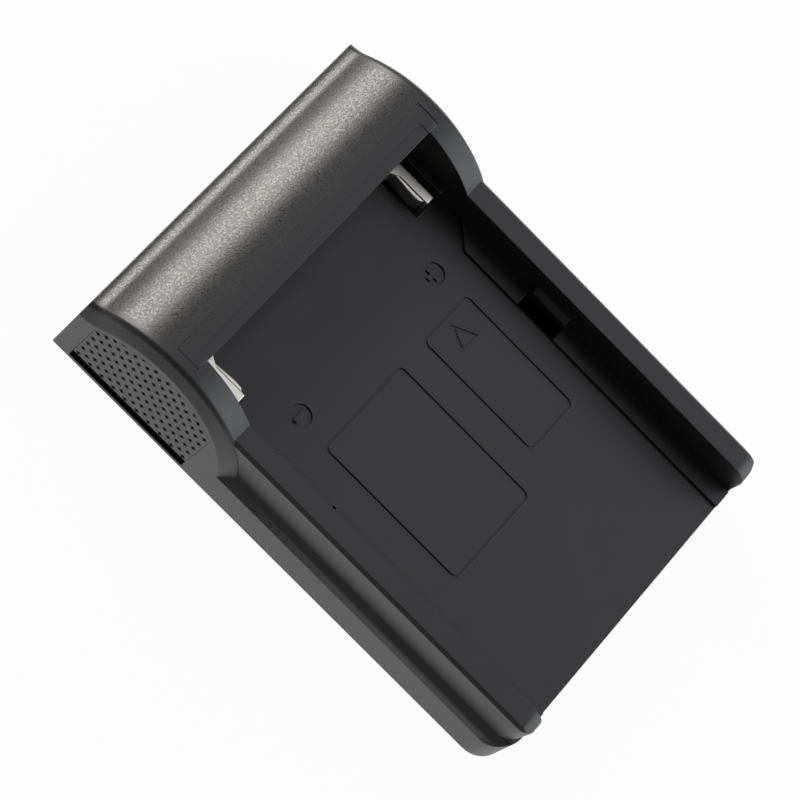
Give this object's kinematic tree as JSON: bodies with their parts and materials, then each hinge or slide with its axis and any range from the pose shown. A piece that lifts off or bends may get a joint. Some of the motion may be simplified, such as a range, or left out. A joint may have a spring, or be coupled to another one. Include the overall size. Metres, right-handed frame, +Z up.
{
  "type": "camera battery charger plate",
  "caption": "Open tray plate of a camera battery charger: chamfered side rails, ledges and an arched, gripped head whose stop wall carries two folded spring contacts.",
  "frame": {"origin": "under the middle of the base, on the surface that the plate lies on", "axes": "+X to the right across the bay, +Y from the open end to the head, +Z up out of the bay"},
  "size_m": [0.0482, 0.0684, 0.0162],
  "materials": {
    "shell_plastic": "fine matte with a coarser spark-eroded grain on the hood",
    "block_plastic": "fine matte",
    "contact_nickel": "bright nickel plate",
    "cover_plastic": "fine matte",
    "board_laminate": "solder mask",
    "pad_brass": "plain",
    "screw_steel": "plain"
  },
  "bodies": {
    "root": {"cradle_shell": "shell_plastic", "contact_block": "block_plastic", "positive_contact": "contact_nickel", "negative_contact": "contact_nickel", "base_cover": "cover_plastic", "circuit_board": "board_laminate", "output_pads": "pad_brass", "cover_screws": "screw_steel"}
  },
  "joints": []
}
